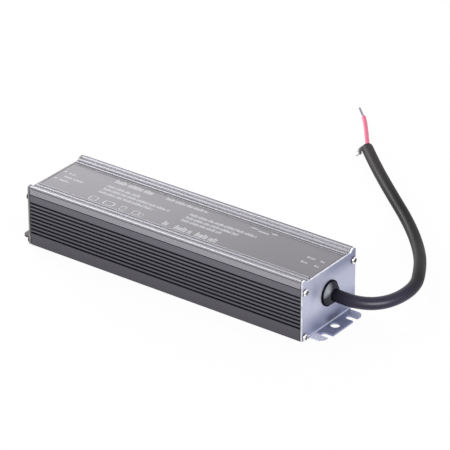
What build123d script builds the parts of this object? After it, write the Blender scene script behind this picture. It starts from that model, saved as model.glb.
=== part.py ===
from build123d import *
import math
import os

# Sealed LED driver in an extruded aluminium body, with one cable for its output.
# Millimetres. X runs along the body towards the output cable, Y across it and Z up.
# The origin is the centre of the underside.

# Body
body_length = 201.6
body_width = 53.7
body_height = 40.0
wall_thickness = 4.6
floor_thickness = 3.0
corner_radius = 0.5
cavity_corner_radius = 1.0
slide_clearance = 0.15

# Cooling ribs on both sides of the channel
foot_band_height = 8.1
head_band_height = 4.4
rib_pitch = 2.52
rib_gap_width = 1.28
rib_gap_depth = 1.9

# Cover
cover_height = 5.9
panel_drop = 2.0
cover_thickness = 1.8
seam_gap = 0.55
seam_depth = 1.6
seat_width = 3.0
ridge_width = 3.5
ridge_outer_radius = 0.9
ridge_inner_radius = 1.2
side_groove_drop = 1.2
side_groove_width = 0.55
side_groove_depth = 0.55
middle_rib_inset = 5.75
middle_rib_width = 1.9
middle_rib_rise = 1.55
inner_rib_inset = 8.75
inner_rib_width = 1.3
inner_rib_rise = 1.2
rib_crown = 0.6
trough_radius = 0.35
leg_thickness = 1.5
leg_length = 5.5
hook_reach = 0.8
hook_height = 1.0

# End plates, bent from sheet, with the flange that holds the driver down
sheet_thickness = 1.2
gasket_thickness = 0.5
gasket_inset = 0.3
plate_foot = 0.3
horn_width = 2.7
horn_slope = 2.4
horn_corner_radius = 1.5
horn_radius = 0.9
flange_inset = 5.85
flange_reach = 10.4
flange_corner_radius = 3.4
bend_radius = 0.5
relief_width = 0.6
hole_diameter = 6.0
hole_reach = 4.7
slot_width = 4.6
tab_width = 6.1
slot_depth = 6.6
slot_mouth_radius = 0.2

# End screws
screw_inset = 2.25
screw_from_bottom = 2.6
screw_from_seam = 1.9
screw_diameter = 2.9
screw_length = 9.0
screw_head_diameter = 4.8
screw_head_height = 1.5
screw_port_clearance = 0.05
cross_width = 0.75
cross_length = 2.6
cross_depth = 0.8

# Rubber grommets
cable_height = 21.2
grommet_rim_diameter = 16.4
grommet_rim_thickness = 1.0
grommet_cone_diameter = 14.8
grommet_nose_diameter = 10.2
grommet_length = 4.0
grommet_neck_diameter = 12.8
grommet_collar_diameter = 15.2
grommet_collar_thickness = 2.2
grommet_clearance = 0.1

# Output cable. Its route and those of its two wires are lists of places.
cable_diameter = 7.8
wire_diameter = 2.8
strand_diameter = 1.4
cable_route = [
    (95.5, 0.0, 21.2),
    (105.5, 0.0, 21.2),
    (117.1, 2.9, 18.8),
    (126.4, 9.4, 17.3),
    (133.0, 18.7, 17.2),
    (136.3, 30.7, 18.1),
    (134.5, 44.4, 18.3),
    (125.2, 61.3, 15.7),
    (113.7, 80.0, 11.7),
    (99.4, 99.2, 8.0),
    (83.2, 117.8, 5.5),
    (66.2, 134.6, 4.2),
    (48.6, 149.8, 4.0),
    (30.7, 165.2, 4.2),
    (13.3, 180.2, 5.1),
    (-2.5, 194.3, 6.8),
]
red_wire_route = [
    (-1.3, 193.2, 8.3),
    (-6.5, 200.3, 7.7),
    (-14.1, 210.7, 6.0),
    (-22.9, 222.9, 3.8),
    (-31.5, 234.4, 2.1),
    (-36.3, 240.1, 1.5),
]
black_wire_route = [
    (-1.2, 193.1, 4.9),
    (-2.5, 195.6, 4.9),
    (-3.4, 198.1, 4.9),
    (-4.5, 200.3, 4.7),
    (-6.7, 201.1, 4.2),
    (-8.9, 200.3, 3.4),
    (-10.1, 198.4, 2.5),
    (-9.9, 196.1, 1.8),
    (-8.5, 194.6, 1.5),
]
red_strand_route = [(-35.7, 239.3, 1.6), (-42.2, 245.8, 1.5), (-46.4, 249.9, 1.5)]
black_strand_route = [(-9.0, 195.2, 1.6), (-8.8, 192.6, 1.3), (-8.4, 190.8, 1.2)]

# Circuit board in its rails
board_thickness = 1.6
board_height = 7.15
rail_depth = 1.35
board_end_gap = 3.0
film_thickness = 0.4
film_margin = 1.2
lead_diameter = 0.8
headroom = 2.4
wall_gap = 1.25

# Parts on the board. Sizes are length along the body, width across it and height, unless said.
fuse_diameter = 5.2
fuse_length = 20.0
fuse_cap_length = 5.0
fuse_cap_step = 0.25
fuse_wall_gap = 5.0
thermistor_size = (11.0, 4.6)
thermistor_from_middle = 5.0
varistor_size = (13.0, 4.2)
varistor_wall_gap = 3.2
film_capacitor_size = (8.5, 18.0, 15.0)
disc_capacitor_size = (8.0, 3.6)
disc_stand_off = 1.6
line_choke_bore = 12.0
line_choke_thickness = 9.0
line_choke_wire = 1.3
line_choke_turn = 130
bridge_size = (22.0, 3.6)
boost_choke_size = (20.5, 14.0, 20.2)
boost_choke_window = (17.6, 8.8)
boost_choke_shift = -5.0
core_yoke = 3.1
bulk_capacitor_diameter = 18.0
bulk_capacitor_gap = 2.4
transformer_size = (27.0, 19.0)
transformer_window = (22.5, 12.0)
transformer_yoke = 4.2
transformer_shift = -5.5
bobbin_wall = 0.9
winding_fill = 0.6
power_part_size = (10.2, 4.5, 9.2)
power_tab_thickness = 1.3
wall_part_gap = 0.75
power_part_stand_off = 3.6
power_part_gap = 2.8
pad_thickness = 0.3
pad_margin = 0.8
output_choke_size = (18.0, 9.0, 8.0)
output_choke_wire = 1.2
output_choke_turn = 320
output_choke_shift = -1.5
output_capacitor_size = (10.0, 20.0)
output_capacitor_gap = 1.5
output_capacitor_wall_gap = 2.4
supply_capacitor_size = (6.3, 11.0)
optocoupler_size = (4.8, 6.4, 3.6)
optocoupler_gap = 2.7
chip_size = (4.9, 3.9, 1.5)
lead_zone = 10.0
lead_reach = 9.5
output_lead_spacing = 3.4

# Places that follow from the sizes above
half_width = body_width / 2
channel_height = body_height - cover_height
panel_height = body_height - panel_drop
cavity_width = body_width - 2 * wall_thickness
cavity_half = cavity_width / 2
cover_underside = panel_height - cover_thickness
plate_inside = body_length / 2 + gasket_thickness
plate_outside = plate_inside + sheet_thickness
screw_y = half_width - screw_inset
screw_low = screw_from_bottom
screw_high = channel_height - screw_from_seam
leg_bottom = channel_height - leg_length
flange_width = body_width - 2 * flange_inset
board_top = board_height + board_thickness
board_length = body_length - 2 * board_end_gap
tall_part_height = cover_underside - board_top - headroom
wall_part_height = leg_bottom - board_top - wall_part_gap
line_choke_outer = tall_part_height - 2 * (slide_clearance + line_choke_wire)


def along_body(profile, length=body_length):
    """An extrusion of a cross-section drawn as (Y, Z), centred on the origin."""
    return extrude(Plane.YZ * profile, amount=length / 2, both=True)


def crowned_rectangle(width, bottom, top, radius):
    """A rectangle that stands on a height and has its two upper corners rounded."""
    shape = Pos(0, bottom) * Rectangle(width, top - bottom, align=(Align.CENTER, Align.MIN))
    return fillet(shape.vertices().group_by(Axis.Y)[-1], radius)


def tube_radii(route):
    """The largest even bend at each point of a route that its two straight runs leave room for."""
    points = [Vector(*p) for p in route]
    radii = []
    for before, at, after in zip(points, points[1:], points[2:]):
        shorter = min((at - before).length, (after - at).length)
        turn = math.radians((at - before).get_angle(after - at))
        radii.append(0.45 * shorter / math.tan(turn / 2))
    return radii


def tube(route, diameter):
    """A round cord along straight runs that are joined by tangent arcs."""
    path = FilletPolyline(*route, radius=tube_radii(route))
    section = Plane(origin=path @ 0, z_dir=path % 0) * Circle(diameter / 2)
    return sweep(section, path=path)


# Extruded channel and cover

def rib_gap_count():
    zone = channel_height - foot_band_height - head_band_height
    return int((zone + rib_pitch - rib_gap_width) / rib_pitch)


def channel_side_cuts():
    """What is cut from one wall: rib gaps, the board's rail, the cover's hook groove and screw ports."""
    cuts = Sketch()
    for n in range(rib_gap_count()):
        gap_height = foot_band_height + rib_gap_width / 2 + n * rib_pitch
        cuts += Pos(half_width, gap_height) * Rectangle(2 * rib_gap_depth, rib_gap_width)
    rail_height = board_thickness + 2 * slide_clearance
    rail_middle = board_height + board_thickness / 2
    cuts += Pos(cavity_half, rail_middle) * Rectangle(2 * rail_depth, rail_height)
    hook_middle = leg_bottom + hook_height / 2
    hook_room = hook_height + 2 * slide_clearance
    cuts += Pos(cavity_half, hook_middle) * Rectangle(2 * hook_reach, hook_room)
    port_radius = screw_diameter / 2 + screw_port_clearance
    for height in (screw_low, screw_high):
        cuts += Pos(screw_y, height) * Circle(port_radius)
    return cuts


def base_channel():
    profile = Rectangle(body_width, channel_height, align=(Align.CENTER, Align.MIN))
    profile = fillet(profile.vertices().group_by(Axis.Y)[0], corner_radius)
    cavity = Pos(0, floor_thickness) * Rectangle(
        cavity_width, channel_height, align=(Align.CENTER, Align.MIN)
    )
    profile -= fillet(cavity.vertices().group_by(Axis.Y)[0], cavity_corner_radius)
    cuts = channel_side_cuts()
    profile -= cuts
    profile -= cuts.mirror(Plane.YZ)
    return along_body(profile)


def cover_side():
    """One edge of the cover: skirt, rounded ridge, two lower ribs and the leg that hooks the channel."""
    side = Pos(half_width - seam_depth, channel_height) * Rectangle(
        seat_width, cover_underside - channel_height, align=(Align.MAX, Align.MIN)
    )
    skirt_bottom = channel_height + seam_gap
    side += Pos(half_width, skirt_bottom) * Rectangle(
        seam_depth, cover_underside - skirt_bottom, align=(Align.MAX, Align.MIN)
    )
    ridge = Pos(half_width, cover_underside) * Rectangle(
        ridge_width, body_height - cover_underside, align=(Align.MAX, Align.MIN)
    )
    ridge = fillet(ridge.vertices().group_by(Axis.Y)[-1].sort_by(Axis.X)[-1], ridge_outer_radius)
    ridge = fillet(ridge.vertices().group_by(Axis.Y)[-1].sort_by(Axis.X)[0], ridge_inner_radius)
    side += ridge
    side += Pos(half_width - middle_rib_inset) * crowned_rectangle(
        middle_rib_width, cover_underside, panel_height + middle_rib_rise, rib_crown
    )
    side += Pos(half_width - inner_rib_inset) * crowned_rectangle(
        inner_rib_width, cover_underside, panel_height + inner_rib_rise, rib_crown
    )
    leg_outside = cavity_half - slide_clearance
    side += Pos(leg_outside - leg_thickness / 2, leg_bottom) * Rectangle(
        leg_thickness, cover_underside - leg_bottom, align=(Align.CENTER, Align.MIN)
    )
    side += Pos(leg_outside - leg_thickness, leg_bottom) * Rectangle(
        leg_thickness + hook_reach - slide_clearance, hook_height, align=(Align.MIN, Align.MIN)
    )
    groove_height = body_height - side_groove_drop
    side -= Pos(half_width, groove_height) * Rectangle(2 * side_groove_depth, side_groove_width)
    return side


def top_cover():
    profile = Pos(0, cover_underside) * Rectangle(
        body_width, cover_thickness, align=(Align.CENTER, Align.MIN)
    )
    side = cover_side()
    profile += side
    profile += side.mirror(Plane.YZ)
    feet = profile.vertices().filter_by_position(Axis.Y, panel_height - 0.01, panel_height + 0.01)
    return along_body(fillet(feet, trough_radius))


# End plates, gaskets and screws

def end_outline(inset):
    """The outline of an end as (Y, Z): a low middle at the panel's height and a horn at each side."""
    side = half_width - inset
    top = body_height - inset
    middle = panel_height - inset
    shoulder = half_width - horn_width
    root = shoulder - horn_slope
    right = [(side, plate_foot + inset), (side, top), (shoulder, top), (root, middle)]
    left = [(-y, z) for y, z in reversed(right)]
    face = make_face(Polyline(*right, *left, close=True))
    upper = face.vertices().filter_by_position(Axis.Y, middle / 2, body_height)
    corners = upper.filter_by(lambda v: abs(v.X) > shoulder + horn_width / 2)
    face = fillet(corners, horn_corner_radius)
    inner = face.vertices().filter_by_position(Axis.Y, middle / 2, body_height)
    return fillet(inner.filter_by(lambda v: abs(v.X) < shoulder + horn_radius / 2), horn_radius)


def screw_places():
    return [(side * screw_y, z) for side in (-1, 1) for z in (screw_low, screw_high)]


def screw_holes():
    clear_radius = screw_diameter / 2 + slide_clearance
    return [Pos(y, z) * Circle(clear_radius) for y, z in screw_places()]


def flange_plan():
    """The flange as (X, Y), with its two open slots and its round hole."""
    start = plate_outside + bend_radius
    tip = plate_outside + flange_reach
    plan = Pos(start, 0) * Rectangle(tip - start, flange_width, align=(Align.MIN, Align.CENTER))
    plan = fillet(plan.vertices().group_by(Axis.X)[-1], flange_corner_radius)
    slot_outside = flange_width / 2 - tab_width
    for side in (-1, 1):
        slot_y = side * (slot_outside - slot_width / 2)
        slot_end = tip - slot_depth + slot_width / 2
        plan -= Pos(slot_end, slot_y) * Circle(slot_width / 2)
        plan -= Pos(slot_end, slot_y) * Rectangle(
            flange_reach, slot_width, align=(Align.MIN, Align.CENTER)
        )
    mouths = [
        v
        for v in plan.vertices().group_by(Axis.X)[-1]
        if abs(v.Y) < slot_outside + slot_mouth_radius / 2
    ]
    plan = fillet(mouths, slot_mouth_radius)
    return plan - Pos(plate_outside + hole_reach, 0) * Circle(hole_diameter / 2)


def flange_bend():
    """The quarter bend between plate and flange, drawn as (X, Z)."""
    outer = bend_radius + sheet_thickness
    ring = Circle(outer) - Circle(bend_radius)
    ring &= Rectangle(outer, outer, align=(Align.MAX, Align.MAX))
    section = Plane.XZ * (Pos(plate_outside + bend_radius, outer) * ring)
    return extrude(section, amount=flange_width / 2, both=True)


def end_plate():
    outline = end_outline(0.0)
    for hole in screw_holes():
        outline -= hole
    outline -= Pos(0, cable_height) * Circle(grommet_neck_diameter / 2 + slide_clearance)
    bend_top = bend_radius + sheet_thickness
    notch_width = flange_width + 2 * relief_width
    outline -= Rectangle(notch_width, bend_top, align=(Align.CENTER, Align.MIN))
    plate = extrude(Plane.YZ.offset(plate_inside) * outline, amount=sheet_thickness)
    plate += flange_bend()
    plate += extrude(flange_plan(), amount=sheet_thickness)
    return plate


def end_gasket():
    ring = end_outline(gasket_inset)
    opening = Pos(0, floor_thickness) * Rectangle(
        cavity_width, cover_underside - floor_thickness, align=(Align.CENTER, Align.MIN)
    )
    ring -= opening
    for hole in screw_holes():
        ring -= hole
    return extrude(Plane.YZ.offset(body_length / 2) * ring, amount=gasket_thickness)


def end_screw():
    """A pan-head screw along X, with the underside of its head at the origin."""
    head_radius = screw_head_diameter / 2
    crown = screw_head_height * 0.55
    head = Line((0, 0), (0, head_radius))
    side = Line((0, head_radius), (screw_head_height - crown, head_radius))
    dome = ThreePointArc(
        (screw_head_height - crown, head_radius),
        (screw_head_height - crown * 0.3, head_radius * 0.72),
        (screw_head_height, 0),
    )
    base = Line((screw_head_height, 0), (0, 0))
    screw = revolve(make_face(head + side + dome + base), Axis.X)
    cross = Pos(screw_head_height, 0, 0) * Box(2 * cross_depth, cross_width, cross_length)
    cross += Pos(screw_head_height, 0, 0) * Box(2 * cross_depth, cross_length, cross_width)
    screw -= cross
    shank = Rot(0, -90, 0) * Cylinder(
        screw_diameter / 2, screw_length, align=(Align.CENTER, Align.CENTER, Align.MIN)
    )
    return screw + shank


def end_screws():
    screw = end_screw()
    return Compound([Pos(plate_outside, y, z) * screw for y, z in screw_places()])


# Grommets

def grommet():
    """A rubber grommet that snaps into the plate's hole, with a cone on the outside."""
    rim = grommet_rim_diameter / 2
    cone = grommet_cone_diameter / 2
    nose = grommet_nose_diameter / 2
    neck = grommet_neck_diameter / 2
    collar = grommet_collar_diameter / 2
    bore = cable_diameter / 2 + grommet_clearance
    back = plate_inside - grommet_collar_thickness
    step = plate_outside + grommet_rim_thickness
    tip = plate_outside + grommet_length
    belly = ((step + tip) / 2, (cone + nose) / 2 + 0.12 * (tip - step))
    outline = Polyline(
        (tip, bore), (back, bore), (back, collar), (plate_inside, collar), (plate_inside, neck),
        (plate_outside, neck), (plate_outside, rim), (step, rim), (step, cone),
    )
    outline += ThreePointArc((step, cone), belly, (tip, nose))
    outline += Line((tip, nose), (tip, bore))
    body = revolve(make_face(outline), Axis.X)
    rim_edge = body.edges().filter_by(GeomType.CIRCLE).filter_by_position(Axis.X, step - 0.01, step + 0.01)
    body = fillet(rim_edge.sort_by(SortBy.RADIUS)[-1], grommet_rim_thickness / 3)
    return Pos(0, 0, cable_height) * body


def output_grommet():
    """The grommet that the cable goes through: its bore follows the cable's first bend."""
    return grommet() - tube(cable_route, cable_diameter + 2 * grommet_clearance)


# Output cable

def output_cable():
    return tube(cable_route, cable_diameter)


def cable_wires():
    jacket = output_cable()
    red = tube(red_wire_route, wire_diameter) - jacket
    black = tube(black_wire_route, wire_diameter) - jacket
    red_strands = tube(red_strand_route, strand_diameter) - red
    black_strands = tube(black_strand_route, strand_diameter) - black
    return {
        "red_wire": red,
        "black_wire": black,
        "red_wire_strands": red_strands,
        "black_wire_strands": black_strands,
    }


def output_leads():
    """The two wires inside the body, from the end of the cable down to the board."""
    leads = []
    for side in (-1, 1):
        y = side * output_lead_spacing / 2
        start = (cable_route[0][0], y, cable_height)
        corner = (cable_route[0][0] - lead_reach, y, cable_height)
        end = (cable_route[0][0] - lead_reach, y, board_top)
        leads.append(tube([start, corner, end], wire_diameter))
    return Compound(leads)


# Circuit board

def circuit_board():
    width = cavity_width + 2 * (rail_depth - slide_clearance)
    board = Box(board_length, width, board_thickness, align=(Align.CENTER, Align.CENTER, Align.MIN))
    return Pos(0, 0, board_height) * board


def insulation_film():
    width = cavity_width - 2 * film_margin
    film = Box(board_length, width, film_thickness, align=(Align.CENTER, Align.CENTER, Align.MIN))
    return Pos(0, 0, floor_thickness) * film


def board_columns():
    """Where the parts stand along the board, in columns that share the free length evenly."""
    widths = {
        "entry": fuse_length + 5 * lead_diameter,
        "first film": film_capacitor_size[0],
        "line choke": line_choke_thickness + 2 * (slide_clearance + line_choke_wire),
        "second film": film_capacitor_size[0],
        "boost choke": bridge_size[0],
        "bulk": bulk_capacitor_diameter,
        "transformer": transformer_size[0],
        "output choke": output_choke_size[0] + 2 * (slide_clearance + output_choke_wire),
        "output capacitors": 2 * output_capacitor_size[0] + output_capacitor_gap,
        "leads": lead_zone,
    }
    gap = (board_length - sum(widths.values())) / (len(widths) + 1)
    places = {}
    start = -board_length / 2 + gap
    for name, width in widths.items():
        places[name] = start + width / 2
        start += width + gap
    return places


columns = board_columns()


def on_board(column, y=0.0, shift=0.0):
    """A place on the board: a column, and steps across and along the body from its middle."""
    return Pos(columns[column] + shift, y, board_top)


def from_wall(size, gap):
    """How far from the middle a part of this width stands when it leaves this gap to the wall."""
    return cavity_half - gap - size / 2


def standing_box(size):
    return Box(*size, align=(Align.CENTER, Align.CENTER, Align.MIN))


def standing_cylinder(diameter, height):
    return Cylinder(diameter / 2, height, align=(Align.CENTER, Align.CENTER, Align.MIN))


def lead(height):
    return standing_cylinder(lead_diameter, height)


def disc_part(size):
    """A coated disc on edge, facing along X, on two stiff leads."""
    diameter, thickness = size
    middle = disc_stand_off + diameter / 2
    body = Rot(0, 90, 0) * Cylinder(diameter / 2, thickness)
    body = chamfer(body.edges().filter_by(GeomType.CIRCLE), thickness / 3, thickness / 4)
    part = Pos(0, 0, middle) * body
    for side in (-1, 1):
        part += Pos(0, side * diameter / 4, 0) * lead(middle)
    return part


def can_part(diameter, height):
    """An electrolytic capacitor: a can with a bevelled top and a crimp above its foot."""
    radius = diameter / 2
    crimp = radius * 0.06
    neck = height * 0.1
    outline = Polyline(
        (0, 0), (radius, 0), (radius, neck - crimp), (radius - crimp, neck), (radius, neck + crimp),
        (radius, height - crimp), (radius - crimp, height), (0, height), close=True,
    )
    return revolve(make_face(Plane.XZ * outline), Axis.Z)


def boxed_capacitor():
    body = standing_box(film_capacitor_size)
    return fillet(body.edges().filter_by(Axis.Z), film_capacitor_size[0] / 10)


def fuse():
    """A glass tube with two end caps, lying along X on its bent leads."""
    middle = fuse_diameter / 2 + slide_clearance
    tube_radius = fuse_diameter / 2 - fuse_cap_step
    body = Rot(0, 90, 0) * Cylinder(tube_radius, fuse_length)
    cap_place = fuse_length / 2 - fuse_cap_length / 2
    for side in (-1, 1):
        body += Pos(side * cap_place, 0, 0) * Rot(0, 90, 0) * Cylinder(fuse_diameter / 2, fuse_cap_length)
    part = Pos(0, 0, middle) * body
    bend = fuse_length / 2 + 2 * lead_diameter
    for side in (-1, 1):
        route = [
            (side * (fuse_length / 2 - lead_diameter), 0, middle),
            (side * bend, 0, middle),
            (side * bend, 0, 0),
        ]
        path = FilletPolyline(*route, radius=lead_diameter)
        part += sweep(Plane(origin=path @ 0, z_dir=path % 0) * Circle(lead_diameter / 2), path=path)
    return part


# Wound parts

def ring_section(size, grow):
    """Half of a ring core's section, as (radius, height), grown on all sides."""
    outer, inner, height = size
    middle = (outer + inner) / 4
    return Pos(middle, 0) * Rectangle((outer - inner) / 2 + 2 * grow, height + 2 * grow)


def ring_core(size):
    return revolve(Plane.XZ * ring_section(size, 0), Axis.Z)


def ring_winding(size, wire, start, turn):
    """The coil round a stretch of a ring core, from one angle over another."""
    section = ring_section(size, slide_clearance + wire) - ring_section(size, slide_clearance)
    return Rot(0, 0, start) * revolve(Plane.XZ * section, Axis.Z, turn)


def line_choke():
    """A ring on edge with a coil on each side, on the coils' four leads."""
    size = (line_choke_outer, line_choke_bore, line_choke_thickness)
    middle = tall_part_height / 2
    stand = on_board("line choke") * Pos(0, 0, middle) * Rot(0, 90, 0)
    core = stand * ring_core(size)
    windings = []
    for side in (-1, 1):
        start = 90 - line_choke_turn / 2 + 90 * (1 - side)
        winding = stand * ring_winding(size, line_choke_wire, start, line_choke_turn)
        for face in (-1, 1):
            shift = face * (line_choke_thickness / 2 + slide_clearance + line_choke_wire / 2)
            winding += on_board("line choke", side * line_choke_outer / 3, shift) * lead(middle / 2)
        windings.append(winding)
    return core, Compound(windings)


def output_choke():
    """A ring that lies flat, with one coil most of the way round."""
    middle = output_choke_size[2] / 2 + slide_clearance + output_choke_wire
    stand = on_board("output choke", output_choke_shift) * Pos(0, 0, middle)
    core = stand * ring_core(output_choke_size)
    start = (360 - output_choke_turn) / 2
    winding = stand * ring_winding(output_choke_size, output_choke_wire, start, output_choke_turn)
    return core, winding


def wound_part(place, size, window, yoke):
    """A core in two halves round an upright post, the spool on the post and the copper on the spool."""
    length, width, height = size
    outer, post = window
    room = height - 2 * yoke
    block = Box(length, width, height / 2, align=(Align.CENTER, Align.CENTER, Align.MIN))
    space = Pos(0, 0, yoke) * (standing_cylinder(outer, room) - standing_cylinder(post, room))
    core = [block - space, Pos(0, 0, height / 2) * block - space]

    tall = room - 2 * slide_clearance
    spool_bore = post + 2 * slide_clearance
    spool_outer = outer - 2 * slide_clearance
    spool = standing_cylinder(spool_bore + 2 * bobbin_wall, tall)
    spool += standing_cylinder(spool_outer, bobbin_wall)
    spool += Pos(0, 0, tall - bobbin_wall) * standing_cylinder(spool_outer, bobbin_wall)
    spool -= standing_cylinder(spool_bore, tall)

    copper_tall = tall - 2 * bobbin_wall - 2 * slide_clearance
    copper = standing_cylinder(outer - 2 * winding_fill, copper_tall)
    copper -= standing_cylinder(spool_bore + 2 * bobbin_wall + 2 * slide_clearance, copper_tall)

    spool_place = place * Pos(0, 0, yoke + slide_clearance)
    copper_place = spool_place * Pos(0, 0, bobbin_wall + slide_clearance)
    return Compound([place * half for half in core]), spool_place * spool, copper_place * copper


# Parts that give their heat to the wall

def power_tab_size():
    return (power_part_size[0], power_tab_thickness, wall_part_height - power_part_stand_off)


def power_part():
    """A transistor or rectifier on its metal tab. The tab's back is at Y = 0 and the board at Z = 0."""
    body = Box(*power_tab_size(), align=(Align.CENTER, Align.MAX, Align.MIN))
    body += Box(*power_part_size, align=(Align.CENTER, Align.MAX, Align.MIN))
    part = Pos(0, 0, power_part_stand_off) * body
    leg = standing_box((lead_diameter, lead_diameter, power_part_stand_off + lead_diameter))
    for step in (-1, 0, 1):
        part += Pos(step * power_part_size[0] / 4, -power_part_size[1] / 2, 0) * leg
    return part


def power_shifts():
    """Two power parts stand side by side in a column."""
    step = (power_part_size[0] + power_part_gap) / 2
    return (-step, step)


def against_wall(column):
    back = cavity_half - pad_thickness
    return Compound([on_board(column, back, shift) * power_part() for shift in power_shifts()])


def bridge_rectifier():
    """The mains rectifier, upright against the wall's pad on four legs."""
    length, depth = bridge_size
    body = Pos(0, 0, disc_stand_off) * Box(
        length, depth, wall_part_height - disc_stand_off, align=(Align.CENTER, Align.MAX, Align.MIN)
    )
    body = chamfer(body.edges().filter_by(Axis.Z).sort_by(Axis.X)[0], depth / 3)
    leg = standing_box((lead_diameter, lead_diameter, disc_stand_off + lead_diameter))
    for step in (-1.5, -0.5, 0.5, 1.5):
        body += Pos(step * length / 4.4, -depth / 2, 0) * leg
    return on_board("boost choke", cavity_half - pad_thickness) * body


def wall_pad(length, height, stand_off):
    pad = Box(length + 2 * pad_margin, pad_thickness, height, align=(Align.CENTER, Align.MAX, Align.MIN))
    return Pos(0, 0, stand_off) * pad


def heat_pads():
    """Soft sheets between the wall and the parts that it cools."""
    length, _, height = power_tab_size()
    pads = [
        on_board(column, cavity_half, shift) * wall_pad(length, height, power_part_stand_off)
        for column in ("transformer", "output choke")
        for shift in power_shifts()
    ]
    bridge_pad = wall_pad(bridge_size[0], wall_part_height - disc_stand_off, disc_stand_off)
    pads.append(on_board("boost choke", cavity_half) * bridge_pad)
    return Compound(pads)


# Small parts

def chip(size):
    """A moulded chip with a bevelled top."""
    body = standing_box(size)
    return chamfer(body.faces().sort_by(Axis.Z)[-1].edges(), size[2] / 5)


def mains_entry():
    entry_fuse = on_board("entry", -from_wall(fuse_diameter, fuse_wall_gap)) * fuse()
    thermistor = on_board("entry", 0, -thermistor_from_middle) * disc_part(thermistor_size)
    varistor_y = from_wall(varistor_size[0], varistor_wall_gap)
    varistor = on_board("entry", varistor_y, thermistor_from_middle) * disc_part(varistor_size)
    return entry_fuse, thermistor, varistor


def disc_capacitors():
    y = from_wall(disc_capacitor_size[0], wall_gap)
    part = disc_part(disc_capacitor_size)
    return Compound([on_board("first film", -y) * part, on_board("second film", y) * part])


def bulk_capacitors():
    y = (bulk_capacitor_diameter + bulk_capacitor_gap) / 2
    part = can_part(bulk_capacitor_diameter, tall_part_height)
    return Compound([on_board("bulk", side * y) * part for side in (-1, 1)])


def output_capacitors():
    """Three cans in an L, beside the output choke."""
    step = output_capacitor_size[0] + output_capacitor_gap
    side = -from_wall(output_capacitor_size[0], output_capacitor_wall_gap)
    part = can_part(*output_capacitor_size)
    places = ((-step / 2, side), (step / 2, side), (-step / 2, side + step))
    return Compound([on_board("output capacitors", y, x) * part for x, y in places])


def supply_capacitor():
    """The small can between the second film capacitor and the wall."""
    y = from_wall(supply_capacitor_size[0], wall_gap)
    return on_board("second film", -y) * can_part(*supply_capacitor_size)


def optocouplers():
    step = (optocoupler_size[0] + optocoupler_gap) / 2
    y = from_wall(optocoupler_size[1], wall_gap)
    return Compound([on_board("output choke", -y, side * step) * chip(optocoupler_size) for side in (-1, 1)])


def control_chips():
    """One chip beside the boost choke, and one beside the output capacitors."""
    first = on_board("boost choke", -from_wall(chip_size[1], wall_gap)) * chip(chip_size)
    second = on_board("output capacitors", from_wall(chip_size[1], wall_gap)) * chip(chip_size)
    return Compound([first, second])


def board_parts():
    entry_fuse, thermistor, varistor = mains_entry()
    line_core, line_coils = line_choke()
    out_core, out_coil = output_choke()
    boost_core, boost_spool, boost_copper = wound_part(
        on_board("boost choke", boost_choke_shift), boost_choke_size, boost_choke_window, core_yoke
    )
    main_core, main_spool, main_copper = wound_part(
        on_board("transformer", transformer_shift),
        (*transformer_size, tall_part_height), transformer_window, transformer_yoke,
    )
    film = boxed_capacitor()
    return {
        "input_fuse": entry_fuse,
        "inrush_thermistor": thermistor,
        "surge_varistor": varistor,
        "film_capacitors": Compound([on_board("first film") * film, on_board("second film") * film]),
        "disc_capacitors": disc_capacitors(),
        "line_choke_core": line_core,
        "line_choke_windings": line_coils,
        "bridge_rectifier": bridge_rectifier(),
        "boost_choke_core": boost_core,
        "boost_choke_bobbin": boost_spool,
        "boost_choke_winding": boost_copper,
        "bulk_capacitors": bulk_capacitors(),
        "transformer_core": main_core,
        "transformer_bobbin": main_spool,
        "transformer_winding": main_copper,
        "power_transistors": against_wall("transformer"),
        "output_rectifiers": against_wall("output choke"),
        "heat_pads": heat_pads(),
        "output_choke_core": out_core,
        "output_choke_winding": out_coil,
        "output_capacitors": output_capacitors(),
        "supply_capacitor": supply_capacitor(),
        "optocouplers": optocouplers(),
        "control_chips": control_chips(),
    }


def all_nodes():
    plate = end_plate()
    gasket = end_gasket()
    screws = end_screws()
    nodes = {
        "base_channel": base_channel(),
        "top_cover": top_cover(),
        "end_plate_output": plate,
        "end_plate_input": mirror(plate, about=Plane.YZ),
        "end_gasket_output": gasket,
        "end_gasket_input": mirror(gasket, about=Plane.YZ),
        "end_screws_output": screws,
        "end_screws_input": mirror(screws, about=Plane.YZ),
        "output_grommet": output_grommet(),
        "input_grommet": mirror(grommet(), about=Plane.YZ),
        "output_cable": output_cable(),
        "output_leads": output_leads(),
        "circuit_board": circuit_board(),
        "insulation_film": insulation_film(),
    }
    nodes.update(cable_wires())
    nodes.update(board_parts())
    return nodes


os.makedirs("parts", exist_ok=True)
for name, shape in all_nodes().items():
    export_step(shape, f"parts/{name}.step")

for route, diameter in (
    (cable_route, cable_diameter),
    (red_wire_route, wire_diameter),
    (black_wire_route, wire_diameter),
):
    smallest = min(tube_radii(route))
    print(f"smallest bend {smallest:.1f} mm, {smallest / diameter:.1f} diameters")
    print("bends", [round(radius, 1) for radius in tube_radii(route)])
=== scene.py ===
import math

import bmesh
import bpy
from bpy.props import FloatProperty, FloatVectorProperty, IntProperty, PointerProperty
from mathutils import Matrix, Vector


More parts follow.
